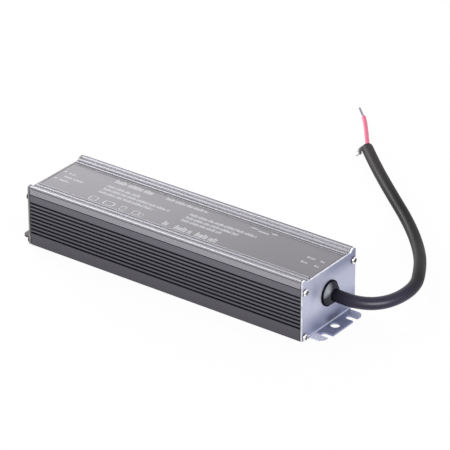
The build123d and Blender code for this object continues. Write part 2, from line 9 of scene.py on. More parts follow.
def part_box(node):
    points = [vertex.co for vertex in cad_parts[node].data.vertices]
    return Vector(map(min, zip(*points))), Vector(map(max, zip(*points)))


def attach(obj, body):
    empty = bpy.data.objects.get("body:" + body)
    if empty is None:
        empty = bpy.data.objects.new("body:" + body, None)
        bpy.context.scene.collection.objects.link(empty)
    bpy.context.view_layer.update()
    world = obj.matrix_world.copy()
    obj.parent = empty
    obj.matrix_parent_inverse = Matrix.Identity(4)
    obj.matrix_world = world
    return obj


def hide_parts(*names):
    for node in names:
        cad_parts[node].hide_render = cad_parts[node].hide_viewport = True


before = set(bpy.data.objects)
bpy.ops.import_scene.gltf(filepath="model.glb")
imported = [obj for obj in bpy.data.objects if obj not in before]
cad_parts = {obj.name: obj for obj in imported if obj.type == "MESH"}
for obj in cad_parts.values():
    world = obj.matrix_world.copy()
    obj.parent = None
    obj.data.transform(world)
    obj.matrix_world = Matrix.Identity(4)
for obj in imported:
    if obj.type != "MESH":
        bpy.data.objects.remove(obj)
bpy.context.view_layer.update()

bl_info = {
    "name": "LED driver",
    "version": (1, 0, 0),
    "blender": (4, 5, 0),
    "location": "View3D > Sidebar > LED driver",
    "description": "Builds a sealed LED driver with its output cable on a studio floor",
    "category": "Object",
}

MM = 0.001

# Points that the curves of the cable, its wires and their bare ends are drawn towards, in millimetres
CABLE_ROUTE = [
    (95.5, 0.0, 21.2), (105.5, 0.0, 21.2), (117.1, 2.9, 18.8), (126.4, 9.4, 17.3),
    (133.0, 18.7, 17.2), (136.3, 30.7, 18.1), (134.5, 44.4, 18.3), (125.2, 61.3, 15.7),
    (113.7, 80.0, 11.7), (99.4, 99.2, 8.0), (83.2, 117.8, 5.5), (66.2, 134.6, 4.2),
    (48.6, 149.8, 4.0), (30.7, 165.2, 4.2), (13.3, 180.2, 5.1), (-2.5, 194.3, 6.8),
]
RED_ROUTE = [
    (-1.3, 193.2, 8.3), (-6.5, 200.3, 7.7), (-14.1, 210.7, 6.0), (-22.9, 222.9, 3.8),
    (-31.5, 234.4, 2.1), (-36.3, 240.1, 1.5),
]
BLACK_ROUTE = [
    (-1.2, 193.1, 4.9), (-2.5, 195.6, 4.9), (-3.4, 198.1, 4.9), (-4.5, 200.3, 4.7),
    (-6.7, 201.1, 4.2), (-8.9, 200.3, 3.4), (-10.1, 198.4, 2.5), (-9.9, 196.1, 1.8),
    (-8.5, 194.6, 1.5),
]
RED_STRAND_ROUTE = [(-35.7, 239.3, 1.6), (-42.2, 245.8, 1.5), (-46.4, 249.9, 1.5)]
BLACK_STRAND_ROUTE = [(-9.0, 195.2, 1.6), (-8.8, 192.6, 1.3), (-8.4, 190.8, 1.2)]


# Shader maths


class Value:
    """A number that varies over a surface, usable in Python expressions."""

    def __init__(self, owner, socket):
        self.owner = owner
        self.socket = socket

    def math(self, operation, *others):
        inputs = dict(enumerate((self, *others)))
        return self.owner.value("ShaderNodeMath", inputs, operation=operation)

    def __add__(self, other):
        return self.math("ADD", other)

    def __sub__(self, other):
        return self.math("SUBTRACT", other)

    def __rsub__(self, other):
        return (self * -1) + other

    def __mul__(self, other):
        return self.math("MULTIPLY", other)

    def __truediv__(self, other):
        return self.math("DIVIDE", other)

    def __gt__(self, other):
        return self.math("GREATER_THAN", other)

    __radd__ = __add__
    __rmul__ = __mul__

    def absolute(self):
        return self.math("ABSOLUTE")

    def larger(self, other):
        return self.math("MAXIMUM", other)

    def smaller(self, other):
        return self.math("MINIMUM", other)

    def away(self, middle):
        """Distance from the middle, which is given in millimetres."""
        return (self - middle * MM).absolute()

    def share(self, start, end):
        """0 before the start and 1 past the end, both in millimetres, with an even rise between."""
        return ((self - start * MM) / (end * MM - start * MM)).larger(0.0).smaller(1.0)


class Tree:
    """A node tree that is filled by naming each node's type, sockets and settings."""

    def __init__(self, tree):
        self.tree = tree

    def node(self, kind, inputs=None, **settings):
        made = self.tree.nodes.new(kind)
        for name, setting in settings.items():
            if name == "stops":
                self.set_stops(made.color_ramp, setting)
            else:
                setattr(made, name, setting)
        for name, source in (inputs or {}).items():
            self.feed(made.inputs[name], source)
        return made

    def feed(self, socket, source):
        if isinstance(source, Value):
            source = source.socket
        if isinstance(source, bpy.types.NodeSocket):
            self.tree.links.new(source, socket)
        else:
            socket.default_value = source

    def set_stops(self, ramp, stops):
        while len(ramp.elements) < len(stops):
            ramp.elements.new(1.0)
        for element, (place, colour) in zip(ramp.elements, stops):
            element.position = place
            element.color = colour

    def value(self, kind, inputs=None, output=0, **settings):
        return Value(self, self.node(kind, inputs, **settings).outputs[output])


class Finish(Tree):
    """A material for one of the driver's surfaces."""

    def __init__(self, name, **uniform):
        self.material = bpy.data.materials.new(name)
        self.material.use_nodes = True
        super().__init__(self.material.node_tree)
        self.shader = self.tree.nodes["Principled BSDF"]
        self.paint(**uniform)
        self.object_place = self.node("ShaderNodeTexCoord").outputs["Object"]

    def paint(self, **sockets):
        for socket, source in sockets.items():
            self.feed(self.shader.inputs[socket.replace("_", " ")], source)

    def bump(self, height, depth, strength=0.5):
        inputs = {"Height": height, "Distance": depth * MM, "Strength": strength}
        self.feed(self.shader.inputs["Normal"], self.node("ShaderNodeBump", inputs).outputs[0])

    def place(self, scale, turn=(0, 0, 0)):
        inputs = {"Vector": self.object_place, "Scale": scale, "Rotation": turn}
        return self.node("ShaderNodeMapping", inputs).outputs["Vector"]

    def axes(self):
        split = self.node("ShaderNodeSeparateXYZ", {"Vector": self.object_place})
        return [Value(self, split.outputs[n]) for n in range(3)]

    def noise(self, place, detail=2.0):
        return self.value("ShaderNodeTexNoise", {"Vector": place, "Scale": 1.0, "Detail": detail})

    def grain(self, fineness, detail=2.0):
        """Noise that is as fine along one axis as along the others."""
        return self.noise(self.place((fineness, fineness, fineness)), detail)

    def ramp(self, amount, *stops):
        return self.node("ShaderNodeValToRGB", {"Fac": amount}, stops=stops).outputs["Color"]

    # A Mix node's sockets 6 and 7 are its two colours, and its output 2 is the mixed one

    def between(self, amount, low, high):
        """A colour that goes from low to high with the amount."""
        return self.node("ShaderNodeMix", {0: amount, 6: low, 7: high}, data_type="RGBA").outputs[2]

    def shades(self, amount, colour, low, high):
        """The colour, from low times as light to high times as light."""
        return self.between(amount, shade(colour, low), shade(colour, high))

    def varied(self, tone, colour, spread):
        """The colour, made up to one spread darker or lighter by the tone."""
        inputs = {0: 1.0, 6: self.shades(tone, (1, 1, 1), 1 - spread, 1 + spread), 7: colour}
        return self.node("ShaderNodeMix", inputs, data_type="RGBA", blend_type="MULTIPLY").outputs[2]


def opaque(colour):
    return (*colour[:3], 1.0)


def shade(colour, factor):
    return tuple(part * factor for part in colour[:3]) + (1.0,)


def around(middle, *parts):
    """The middle value, moved down and up by noises, each over a reach of its own."""
    total = middle - sum(reach for _, reach in parts) / 2
    for noise, reach in parts:
        total = noise * reach + total
    return total


def drawn_metal(finish, colour, roughness, spread):
    """Extruded and anodised aluminium, with faint lines along the body."""
    lines = finish.noise(finish.place((4, 700, 700)), 3.0)
    cloud = finish.noise(finish.place((12, 30, 30)))
    finish.paint(
        Base_Color=finish.varied(lines * 0.6 + cloud * 0.4, colour, spread),
        Roughness=around(roughness, (lines, 0.1), (cloud, 0.06)),
    )
    finish.bump(finish.noise(finish.place((900, 2600, 2600))), 0.02)
    return finish.material


def channel_metal(name, colour, foot, top):
    """Dark anodising, with painted shade that deepens evenly from the top of the body down to its foot."""
    finish = Finish(name, Metallic=0.9)
    _, _, z = finish.axes()
    # Painted shade: foot times as light at the bottom, rising to top times as light 40 mm up
    rise = z.share(0, 40)
    return drawn_metal(finish, finish.shades(rise, colour, foot, top), 0.42, 0.12)


def cover_metal(name, panel, ribs, sides):
    """Silver anodising: a matt panel and plain sides, with painted highlights and painted shade in bands
    across the ribs and ridges.
    """
    finish = Finish(name, Metallic=0.65)
    _, y, _ = finish.axes()
    # Painted shade: a dark purple line along the far outer edge
    shadow = (0.075, 0.065, 0.125)
    # Place across the cover in millimetres, the colour there, and how light it is: painted highlights and
    # painted shade on the ribs and ridges
    painted_light_tones = (
        (-26.6, sides, 1.0), (-26.1, ribs, 1.18), (-25.1, ribs, 0.8), (-24.5, ribs, 0.74),
        (-23.6, ribs, 1.0), (-23.0, ribs, 1.5), (-22.1, ribs, 1.55), (-21.9, ribs, 0.9),
        (-21.5, ribs, 0.72), (-20.6, ribs, 1.26), (-19.6, ribs, 1.25), (-19.3, ribs, 1.9),
        (-18.9, ribs, 1.5), (-18.5, ribs, 0.64), (-17.3, ribs, 0.62), (-16.9, panel, 0.97),
        (16.4, panel, 1.09), (17.0, panel, 1.42), (17.4, ribs, 0.9), (18.7, ribs, 1.08),
        (19.1, ribs, 1.7), (20.2, ribs, 1.28), (20.6, ribs, 0.62), (21.4, ribs, 1.55),
        (22.2, ribs, 2.2), (22.6, ribs, 1.65), (23.4, ribs, 1.27), (23.8, ribs, 0.85),
        (25.1, ribs, 0.95), (25.5, shadow, 1.0), (26.7, shadow, 1.0), (26.8, sides, 1.0),
    )
    # How far the ramp goes to each side of the middle
    reach = 28.0
    stops = [((place + reach) / (2 * reach), shade(colour, light)) for place, colour, light in painted_light_tones]
    across = y * (0.5 / (reach * MM)) + 0.5
    return drawn_metal(finish, finish.ramp(across, *stops), 0.4, 0.06)


def plated_sheet(name, colour, tint, haze, roughness, edge):
    """Zinc-plated sheet in two tints, with a painted reflection as a haze round the bend, painted highlights
    on the near tab and along the crease, and the cut edges in the edge colour, which is painted light.
    """
    finish = Finish(name, Metallic=0.6)
    x, y, z = finish.axes()
    cloud = finish.noise(finish.place((26, 34, 34), (0.4, 0.2, 0.0)), 2.5)
    rolled = finish.noise(finish.place((600, 600, 14)))
    tinted = finish.ramp(cloud * 0.8 + rolled * 0.2, (0.32, opaque(tint)), (0.62, opaque(colour)))
    uneven = (cloud - 0.5) * 6.0 * MM
    wall = x.share(103.4, 103)
    # Painted highlight: the flange is bright at its near tab
    tab_highlight = (1 - wall) * y.share(-13, -15)
    tinted = finish.between(tab_highlight, tinted, (0.94, 0.94, 1.0, 1.0))
    # Painted reflection, as a haze on the wall's foot and the flange's middle and at the wall's top, and a
    # painted reflection of the cable in a smear by the grommet
    low = (z + uneven).share(17, 5)
    middle = (y + uneven).share(-15.5, -12) * 0.85 + y.share(-5, 2) * 0.15
    middle = middle * (y + uneven).share(32, 12)
    high = z.share(28, 35) * y.share(-18, 4) * 0.85
    painted_cable_reflection = y.away(-15).share(6, 1) * z.away(27).share(7, 1) * wall * 0.5
    # Painted shadow: the haze is deeper on the wall under the grommet
    painted_shadow_under = z.share(7.5, 4.5) * y.away(4).share(9, 4) * wall
    deep = finish.between(painted_shadow_under, opaque(haze), shade(haze, 0.6))
    painted_reflection_and_shade = finish.between(low * middle.larger(wall * 0.85) + high + painted_cable_reflection, tinted, deep)
    # Painted highlight: a thin bright line runs along the inside of the bend
    crease_highlight = x.absolute().away(102.8).share(0.55, 0.35) * z.share(2, 1.8)
    with_crease_highlight = finish.between(crease_highlight * 0.35, painted_reflection_and_shade, (0.9, 0.9, 1.0, 1.0))
    # The third output of an Attribute node is its number
    cut = finish.value("ShaderNodeAttribute", output=2, attribute_name="cut_edge")
    # Painted light on the cut edges: a painted highlight on the bright plate and painted shade on the dull
    # one, with nicks from the grain
    nicked_painted_edge = finish.varied(finish.grain(500, 3.0), opaque(edge), 0.6)
    finish.paint(
        Base_Color=finish.between(cut, with_crease_highlight, nicked_painted_edge),
        Roughness=around(roughness, (cloud, 0.1), (rolled, 0.08)),
    )
    finish.bump(finish.grain(260), 0.03)
    return finish.material


def plain_metal(name, colour, roughness):
    """Bright turned metal with a slight haze."""
    finish = Finish(name, Metallic=1.0)
    haze = finish.grain(350)
    finish.paint(
        Base_Color=finish.shades(haze, colour, 0.85, 1.1),
        Roughness=around(roughness, (haze, 0.14)),
    )
    return finish.material


def screw_metal(name, colour, roughness, dark_below):
    """Bright plating, with painted shade in the recess and at the head's foot, within dark_below mm of the
    middle.
    """
    finish = Finish(name, Metallic=1.0)
    x, _, _ = finish.axes()
    haze = finish.grain(350)
    # Painted shade in the recess and round the head's foot
    deep = x.absolute().share(dark_below, dark_below - 0.25)
    bright = finish.shades(haze, colour, 0.9, 1.1)
    finish.paint(
        Base_Color=finish.between(deep, bright, shade(colour, 0.12)),
        Roughness=around(roughness, (haze, 0.14)),
    )
    return finish.material


def rubber(name, colour, roughness):
    """Rubber with a fine grain."""
    finish = Finish(name)
    fine = finish.grain(1500)
    wear = finish.grain(60, 3.0)
    finish.paint(
        Base_Color=finish.shades(wear, colour, 0.75, 1.3),
        Roughness=around(roughness, (fine, 0.1), (wear, 0.16)),
    )
    finish.bump(fine, 0.02)
    return finish.material


def gasket_rubber(name, colour, paler_top):
    """Black sealing rubber, paler towards its top."""
    finish = Finish(name)
    _, _, z = finish.axes()
    fine = finish.grain(1500)
    tone = finish.between(z.share(36.5, 37.3), opaque(colour), opaque(paler_top))
    finish.paint(Base_Color=finish.varied(fine, tone, 0.2), Roughness=around(0.6, (fine, 0.2)))
    return finish.material


def cable_rubber(name, colour, bend_sheen_colour, roughness):
    """Black rubber, darkest at the driver, glossy in the bend with a painted purple tint for its sheen, and
    paler at its far end.
    """
    finish = Finish(name, Specular_IOR_Level=0.05, Coat_Roughness=0.37)
    x, y, _ = finish.axes()
    dark = x.share(101, 109) * y.share(48, 24)
    bend = x.share(107, 121) * dark
    fine = finish.grain(1100)
    wear = finish.grain(60, 3.0)
    tone = finish.between(x.share(60, 5), opaque(colour), (0.040, 0.036, 0.038, 1.0))
    tone = finish.between(dark, tone, (0.004, 0.004, 0.008, 1.0))
    # Painted tint of the sheen: purple in the bend, where the sheen is
    tone = finish.between(bend, tone, opaque(bend_sheen_colour))
    finish.paint(
        Base_Color=finish.varied(wear, tone, 0.25),
        Roughness=around(roughness, (fine, 0.1), (wear, 0.16)),
        Coat_Weight=bend * 0.72,
    )
    finish.bump(fine, 0.012)
    return finish.material


def grommet_rubber(name, colour, cone_colour, painted_highlight_colour, rim, height):
    """Black rubber, with a painted highlight as a paler patch high on the left of the cone, which starts at
    the rim.
    """
    finish = Finish(name, Specular_IOR_Level=0.02, Coat_Roughness=0.28)
    x, y, z = finish.axes()
    fine = finish.grain(900)
    wear = finish.grain(300, 3.0)
    cone = x.absolute().share(rim, rim + 0.3)
    up_left = (z - height * MM) * 0.67 - y * 0.74
    # Painted highlight: a paler patch high on the left of the cone
    patch = (cone * up_left.share(4.7, 6.6) * (wear * 0.4 + 0.8)).smaller(1.0)
    black = finish.between(cone, opaque(colour), opaque(cone_colour))
    finish.paint(
        Base_Color=finish.between(patch, black, opaque(painted_highlight_colour)),
        Roughness=around(0.34, (fine, 0.1), (wear, 0.16)),
        Coat_Weight=patch * 0.3,
    )
    finish.bump(fine, 0.02)
    return finish.material


def resin(name, colour, roughness, fineness=900):
    """Moulded plastic, coating or varnish."""
    finish = Finish(name)
    fine = finish.grain(fineness)
    finish.paint(
        Base_Color=finish.shades(fine, colour, 0.85, 1.15),
        Roughness=around(roughness, (fine, 0.12)),
    )
    finish.bump(fine, 0.01, 0.4)
    return finish.material


def print_ink(name, colour):
    """Thin ink that is a little uneven."""
    finish = Finish(name)
    patch = finish.grain(900)
    finish.paint(
        Base_Color=finish.shades(patch, colour, 0.86, 1.1),
        Roughness=around(0.55, (patch, 0.1)),
    )
    return finish.material


def board_lacquer(name, colour):
    """Green lacquer over copper tracks, which show as slightly lighter stripes."""
    finish = Finish(name, Coat_Weight=0.4)
    _, y, _ = finish.axes()
    bend = finish.grain(40, 1.0) * 0.006
    track = ((y + bend) * 900.0).math("SINE") > 0.35
    patch = finish.grain(70, 1.0) > 0.5
    copper = track.smaller(patch)
    finish.paint(
        Base_Color=finish.shades(copper, colour, 0.8, 1.9),
        Roughness=copper * 0.1 + 0.3,
    )
    return finish.material


def clear_glass(name, colour):
    """Thin glass that one sees through."""
    finish = Finish(name, Alpha=0.45, Roughness=0.08)
    film = finish.grain(200, 1.0)
    finish.paint(Base_Color=finish.shades(film, colour, 0.9, 1.0))
    return finish.material


def wound_wire(name, colour):
    """Enamelled wire, with its turns as ridges across the ring."""
    finish = Finish(name, Metallic=0.6, Coat_Weight=0.5)
    x, y, z = finish.axes()
    turns = ((x + y + z) * 3600.0).math("SINE") * 0.5 + 0.5
    finish.paint(
        Base_Color=finish.shades(turns, colour, 0.45, 1.2),
        Roughness=turns * 0.1 + 0.25,
    )
    finish.bump(turns, 0.2, 0.8)
    return finish.material


# Meshes


def put_in_scene(name, mesh):
    piece = bpy.data.objects.new(name, mesh)
    bpy.context.scene.collection.objects.link(piece)
    return piece


def finished(piece, material, slot, *nodes):
    """Gives a piece its material, lets it ride on the body and hides the nodes it stands for."""
    piece.data.materials.clear()
    piece.data.materials.append(material)
    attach(piece, "root")
    if nodes:
        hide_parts(*nodes)
    return piece


def smooth(mesh, angle=30.0):
    mesh.shade_smooth()
    mesh.set_sharp_from_angle(angle=math.radians(angle))


def shape_mesh(shape, name):
    mesh = bpy.data.meshes.new(name)
    shape.to_mesh(mesh)
    shape.free()
    return mesh


def merged_copy(node, name):
    """A copy of a CAD node's mesh with its triangles joined into whole faces."""
    shape = bmesh.new()
    shape.from_mesh(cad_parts[node].data)
    bmesh.ops.remove_doubles(shape, verts=shape.verts, dist=1e-6)
    bmesh.ops.dissolve_limit(shape, angle_limit=0.008, verts=shape.verts, edges=shape.edges)
    return put_in_scene(name, shape_mesh(shape, name))


def round_edges(piece, width):
    bevel = piece.modifiers.new("edge rounding", "BEVEL")
    bevel.width = width
    bevel.segments = 2
    bevel.limit_method = "ANGLE"
    bevel.angle_limit = math.radians(28.0)
    bevel.use_clamp_overlap = True
    bevel.harden_normals = True
    smooth(piece.data)


def plain_mesh(piece, name):
    """The evaluated shape of a piece as a new object, without the piece's modifiers."""
    depsgraph = bpy.context.evaluated_depsgraph_get()
    mesh = bpy.data.meshes.new_from_object(piece.evaluated_get(depsgraph))
    mesh.name = name
    source = piece.data
    bpy.data.objects.remove(piece)
    if isinstance(source, bpy.types.Mesh):
        bpy.data.meshes.remove(source)
    else:
        bpy.data.curves.remove(source)
    return put_in_scene(name, mesh)


def points_mesh(name, points, sizes):
    """Loose points, each with the size of the copy that goes on it."""
    mesh = bpy.data.meshes.new(name)
    mesh.from_pydata([tuple(point) for point in points], [], [])
    attribute = mesh.attributes.new("copy_size", "FLOAT_VECTOR", "POINT")
    attribute.data.foreach_set("vector", [part for size in sizes for part in size])
    return put_in_scene(name, mesh)


def geometry_tree(name, sockets):
    """A Geometry Nodes tree with its named inputs. Gives the tree, its input node and identifiers."""
    group = bpy.data.node_groups.new(name, "GeometryNodeTree")
    group.interface.new_socket("Geometry", in_out="INPUT", socket_type="NodeSocketGeometry")
    identifiers = {}
    for label, kind in sockets.items():
        made = group.interface.new_socket(label, in_out="INPUT", socket_type=kind)
        identifiers[label] = made.identifier
    group.interface.new_socket("Geometry", in_out="OUTPUT", socket_type="NodeSocketGeometry")
    tree = Tree(group)
    return tree, tree.node("NodeGroupInput"), identifiers


def end_tree(tree, geometry, material):
    """Ends a tree with real geometry in its material."""
    real = tree.node("GeometryNodeRealizeInstances", {"Geometry": geometry})
    inputs = {"Geometry": real.outputs[0], "Material": material}
    coloured = tree.node("GeometryNodeSetMaterial", inputs)
    tree.node("NodeGroupOutput", {0: coloured.outputs[0]})


def apply_tree(piece, made, settings, name):
    """The mesh that a tree, given with its inputs' identifiers, makes of a piece."""
    tree, identifiers = made
    modifier = piece.modifiers.new("shape", "NODES")
    modifier.node_group = tree.tree
    for label, setting in settings.items():
        modifier[identifiers[label]] = setting
    return plain_mesh(piece, name)


def copies_tree():
    """Puts a copy of one shape on each point, turned as asked and as large as the point says."""
    sockets = {
        "Shape": "NodeSocketObject", "Turn": "NodeSocketRotation", "Material": "NodeSocketMaterial",
    }
    tree, source, identifiers = geometry_tree("copies on points", sockets)
    inputs = {"Object": source.outputs["Shape"]}
    shape = tree.node("GeometryNodeObjectInfo", inputs, transform_space="ORIGINAL")
    inputs = {"Name": "copy_size"}
    size = tree.node("GeometryNodeInputNamedAttribute", inputs, data_type="FLOAT_VECTOR")
    inputs = {
        "Points": source.outputs["Geometry"], "Instance": shape.outputs["Geometry"],
        "Rotation": source.outputs["Turn"], "Scale": size.outputs["Attribute"],
    }
    placed = tree.node("GeometryNodeInstanceOnPoints", inputs)
    end_tree(tree, placed.outputs[0], source.outputs["Material"])
    return tree, identifiers


def copies(name, shape, places, sizes, material, turn=(0.0, 0.0, 0.0)):
    """One mesh with a copy of the shape on each place. The shape itself is removed."""
    settings = {"Shape": shape, "Turn": turn, "Material": material}
    piece = apply_tree(points_mesh("places", places, sizes), copies_tree(), settings, name)
    mesh = shape.data
    bpy.data.objects.remove(shape)
    bpy.data.meshes.remove(mesh)
    return piece


# Settings


def length_setting(name, description, millimetres):
    return FloatProperty(
        name=name, description=description, default=millimetres * MM, unit="LENGTH",
        subtype="DISTANCE", precision=5,
    )


def colour_setting(name, description, default):
    return FloatVectorProperty(
        name=name, description=description, subtype="COLOR", size=3, default=default, min=0, max=1
    )


class HousingSettings(bpy.types.PropertyGroup):
    edge_rounding: length_setting("Edge rounding", "Radius of the metal edges", 0.12)
    channel_colour: colour_setting("Channel", "Colour of the ribbed channel", (0.140, 0.134, 0.156))
    cover_colour: colour_setting("Panel", "Colour of the cover's flat panel", (0.205, 0.197, 0.212))
    # The ribs' colour, lifted further in places by painted highlights
    rib_and_highlight_colour: colour_setting("Cover ribs", "Colour of the cover's ribs and ridges", (0.355, 0.350, 0.376))
    side_colour: colour_setting("Cover sides", "Colour of the cover's sides", (0.330, 0.322, 0.352))
    plate_colour: colour_setting("Plate", "Main colour of the output end's plate", (0.48, 0.485, 0.61))
    plate_tint: colour_setting("Plate clouds", "Colour of bluer clouds in the plating", (0.38, 0.40, 0.54))
    # Colour of the painted reflection round the bend
    plate_painted_reflection: colour_setting("Plate haze", "Colour of the deep haze round the bend", (0.215, 0.236, 0.355))
    # Painted shade: the input end's plate is a darker copy of the output plate
    shaded_plate_colour: colour_setting("Dull plate", "Colour of the plate at the input end", (0.105, 0.10, 0.098))
    print_colour: colour_setting("Print", "Colour of the marks on the cover", (0.53, 0.53, 0.55))
    panel_height: length_setting("Panel height", "Height of the cover's flat panel", 38.0)


class ScrewSettings(bpy.types.PropertyGroup):
    head_diameter: length_setting("Head diameter", "Diameter of the screws' heads", 4.8)
    head_height: length_setting("Head height", "Height of the screws' heads", 1.5)
    cross_width: length_setting("Cross width", "Width of the slots in the heads", 1.0)
    inset: length_setting("Inset", "Distance from a screw to the side of the body", 2.25)
    colour: colour_setting("Colour", "Colour of the plated screws", (0.88, 0.87, 0.90))


class CableSettings(bpy.types.PropertyGroup):
    cable_diameter: length_setting("Cable diameter", "Diameter of the output cable", 7.8)
    wire_diameter: length_setting("Wire diameter", "Diameter of the two wires", 2.8)
    strand_diameter: length_setting("Strand diameter", "Diameter of one bare strand", 0.46)
    strand_turns: FloatProperty(
        name="Strand turns", description="Turns of the strands over their length", default=1.2
    )
    strands: IntProperty(name="Strands", description="Strands round the middle one", default=6, min=3)
    cable_colour: colour_setting("Cable", "Colour of the cable's rubber", (0.009, 0.009, 0.009))
    # The bend's colour is a painted purple tint for the sheen there
    bend_sheen_colour: colour_setting("Cable's bend", "Colour of the rubber in the bend", (0.008, 0.0055, 0.022))
    red_colour: colour_setting("Red wire", "Colour of the red wire", (0.68, 0.060, 0.19))


class StageSettings(bpy.types.PropertyGroup):
    floor_size: length_setting("Floor size", "Length of the floor's sides", 8000.0)
    room_light: FloatProperty(
        name="Room light", description="Strength of the even light from all sides", default=0.45, min=0
    )
    shadow: FloatProperty(
        name="Shadow", description="Share of the floor's colour that comes from the light on it",
        default=0.05, min=0, max=1, subtype="FACTOR",
    )


# The housing


class DRIVER_OT_channel(bpy.types.Operator):
    """Make the ribbed channel"""

    bl_idname = "driver.channel"
    bl_label = "Ribbed channel"

    def execute(self, context):
        housing = context.scene.driver_housing
        piece = merged_copy("base_channel", "ribbed_channel")
        round_edges(piece, housing.edge_rounding)
        # The painted shade goes from 0.66 times as light at the foot to 1.2 times at the top
        metal = channel_metal("dark anodised aluminium", housing.channel_colour, 0.66, 1.2)
        finished(piece, metal, "channel_metal", "base_channel")
        return {"FINISHED"}


class DRIVER_OT_cover(bpy.types.Operator):
    """Make the ribbed cover"""

    bl_idname = "driver.cover"
    bl_label = "Ribbed cover"

    def execute(self, context):
        housing = context.scene.driver_housing
        piece = merged_copy("top_cover", "ribbed_cover")
        round_edges(piece, housing.edge_rounding)
        metal = cover_metal(
            "silver anodised aluminium", housing.cover_colour, housing.rib_and_highlight_colour, housing.side_colour
        )
        finished(piece, metal, "cover_metal", "top_cover")
        return {"FINISHED"}


def mark_cut_edges(mesh):
    """Gives each face of an upright sheet a 1 where the sheet was cut and a 0 on its flat sides."""
    above_flange = 2.5 * MM
    cut = mesh.attributes.new("cut_edge", "FLOAT", "FACE")
    for face, value in zip(mesh.polygons, cut.data):
        value.value = float(face.center.z > above_flange and abs(face.normal.x) < 0.5)


class DRIVER_OT_ends(bpy.types.Operator):
    """Make the end plates and their gaskets"""

    bl_idname = "driver.ends"
    bl_label = "End plates"

    def execute(self, context):
        housing = context.scene.driver_housing
        dull = housing.shaded_plate_colour
        sheets = {
            "output": plated_sheet(
                "blue plated sheet", housing.plate_colour, housing.plate_tint, housing.plate_painted_reflection,
                # The bright cut edges' colour is a painted highlight
                0.42, (0.68, 0.68, 0.76),
            ),
            # Painted shade: the input end's plate is a darker copy of the plating, with dark cut edges
            "input": plated_sheet(
                "dull plated sheet", dull, shade(dull, 0.8), shade(dull, 0.7), 0.5, (0.27, 0.26, 0.26)
            ),
        }
        seal = gasket_rubber("gasket rubber", (0.02, 0.02, 0.02), (0.30, 0.30, 0.31))
        for end in ("output", "input"):
            plate = merged_copy(f"end_plate_{end}", f"bent_plate_{end}")
            mark_cut_edges(plate.data)
            round_edges(plate, housing.edge_rounding * 1.5)
            finished(plate, sheets[end], "plate_metal", f"end_plate_{end}")
            gasket = merged_copy(f"end_gasket_{end}", f"seal_{end}")
            smooth(gasket.data)
            finished(gasket, seal, "gasket_rubber", f"end_gasket_{end}")
        return {"FINISHED"}


def spun(profile, segments=40):
    """A turned mesh along X, from (x, radius) pairs that start and end on the axis."""
    shape = bmesh.new()
    verts = [shape.verts.new((x, radius, 0.0)) for x, radius in profile]
    edges = [shape.edges.new(pair) for pair in zip(verts, verts[1:])]
    bmesh.ops.spin(
        shape, geom=verts + edges, axis=(1, 0, 0), cent=(0, 0, 0), angle=2 * math.pi,
        steps=segments, use_merge=True,
    )
    bmesh.ops.remove_doubles(shape, verts=shape.verts, dist=1e-7)
    bmesh.ops.recalc_face_normals(shape, faces=shape.faces)
    return shape


def screw_shape(screws):
    """One screw along X with the underside of its head at the origin and a crossed recess."""
    radius = screws.head_diameter / 2
    height = screws.head_height
    shank = 1.4 * MM
    length = 8.0 * MM
    # The head rises straight for the first part of its height and is domed above
    straight, steps = 0.42, 8
    turns = [math.pi / 2 * step / steps for step in range(steps)]
    dome = [
        (height * (straight + (1 - straight) * math.sin(turn)), radius * math.cos(turn)) for turn in turns
    ]
    profile = [(-length, 0.0), (-length, shank), (0.0, shank), (0.0, radius * 0.96), *dome, (height, 0.0)]
    screw = put_in_scene("screw", shape_mesh(spun(profile), "screw"))

    # The two slots differ a little in depth, so that no two faces of the cutter share a plane
    recess = bmesh.new()
    reach = screws.head_diameter * 0.62
    for deep, across, up in ((1.2, screws.cross_width, reach), (1.19, reach, screws.cross_width)):
        size = Matrix.Diagonal((height * deep, across, up, 1.0))
        bmesh.ops.create_cube(recess, size=1.0, matrix=Matrix.Translation((height, 0, 0)) @ size)
    cutter = put_in_scene("recess", shape_mesh(recess, "recess"))
    cut = screw.modifiers.new("recess", "BOOLEAN")
    cut.operation = "DIFFERENCE"
    cut.solver = "EXACT"
    cut.use_self = True
    cut.object = cutter
    screw = plain_mesh(screw, "screw")
    bpy.data.objects.remove(cutter)
    return screw


class DRIVER_OT_screws(bpy.types.Operator):
    """Make the end screws"""

    bl_idname = "driver.screws"
    bl_label = "End screws"

    def execute(self, context):
        screws = context.scene.driver_screws
        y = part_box("base_channel")[1].y - screws.inset
        dark_below = (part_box("end_screws_output")[1].x - screws.head_height * 0.4) / MM
        metals = {
            "output": screw_metal("bright nickel", screws.colour, 0.17, dark_below),
            # Painted shade: the input end's screws are a darker copy of the plating
            "input": screw_metal("dull nickel", shade(screws.colour, 0.35), 0.4, dark_below),
        }
        for end, side in (("output", 1), ("input", -1)):
            node = f"end_screws_{end}"
            low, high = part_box(node)
            face = high.x - screws.head_height if side > 0 else low.x + screws.head_height
            heights = (low.z + screws.head_diameter / 2, high.z - screws.head_diameter / 2)
            places = [(face, across, z) for across in (-y, y) for z in heights]
            sizes = [(1.0, 1.0, 1.0)] * len(places)
            turn = (0.0, 0.0, 0.0 if side > 0 else math.pi)
            piece = copies(f"pan_head_screws_{end}", screw_shape(screws), places, sizes, metals[end], turn)
            smooth(piece.data, 35.0)
            finished(piece, metals[end], "screw_metal", node)
        return {"FINISHED"}


